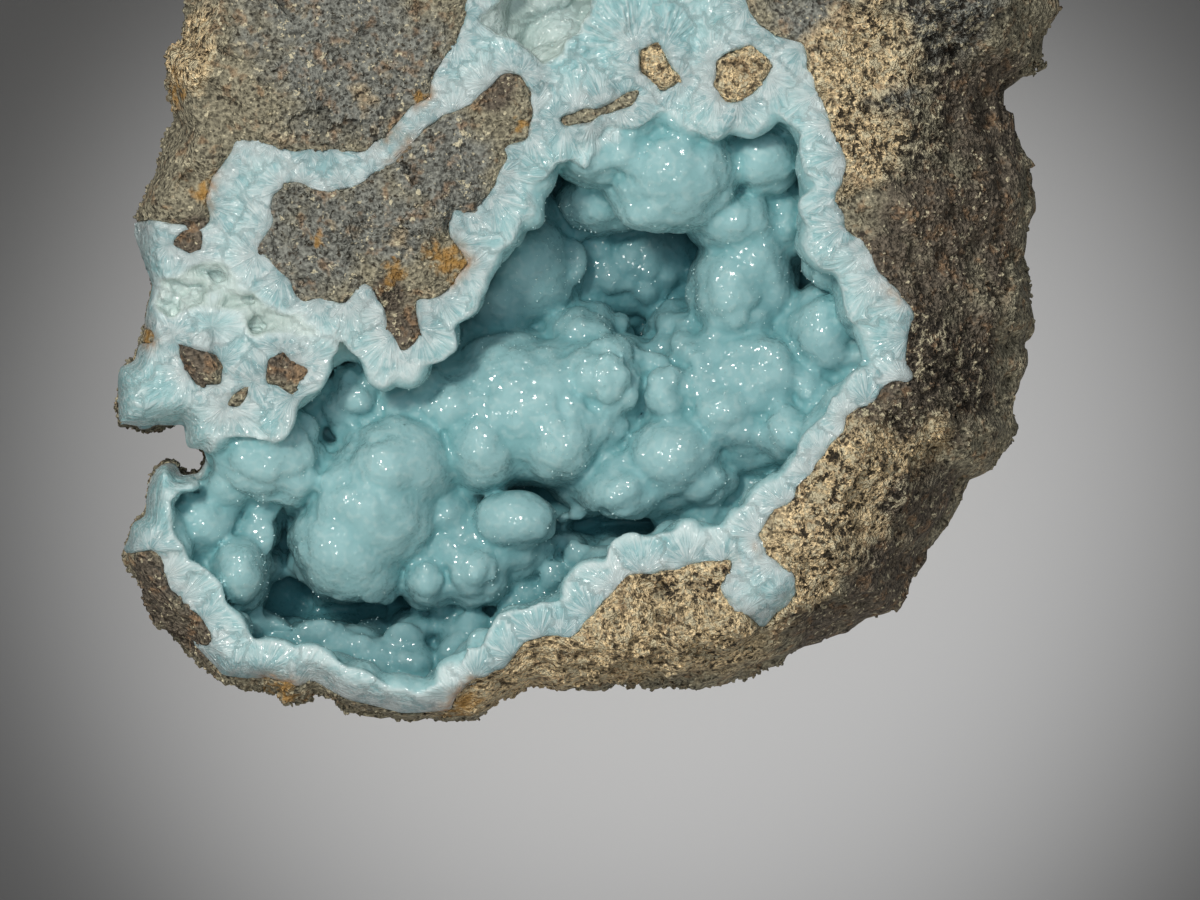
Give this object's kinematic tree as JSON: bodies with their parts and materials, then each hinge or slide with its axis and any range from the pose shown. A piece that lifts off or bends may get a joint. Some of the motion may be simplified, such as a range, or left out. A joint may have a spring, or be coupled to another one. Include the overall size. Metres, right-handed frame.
{
  "type": "hemimorphite mineral specimen",
  "caption": "Broken piece of speckled rock lying on its flat back, its open hollow lined with a blue-green crust of rounded hemimorphite lumps.",
  "frame": {"origin": "centre of the bounding box at the flat back that the piece lies on", "axes": "+Z out of the hollow's mouth, +Y up the broken face as pictured, +X to its right"},
  "size_m": [0.095, 0.0932, 0.0361],
  "materials": {
    "matrix_rock": "rough, broken, speckled",
    "hemimorphite_crust": "waxy to glassy, translucent"
  },
  "bodies": {
    "root": {"matrix_rock": "matrix_rock", "hemimorphite_crust": "hemimorphite_crust"}
  },
  "joints": []
}
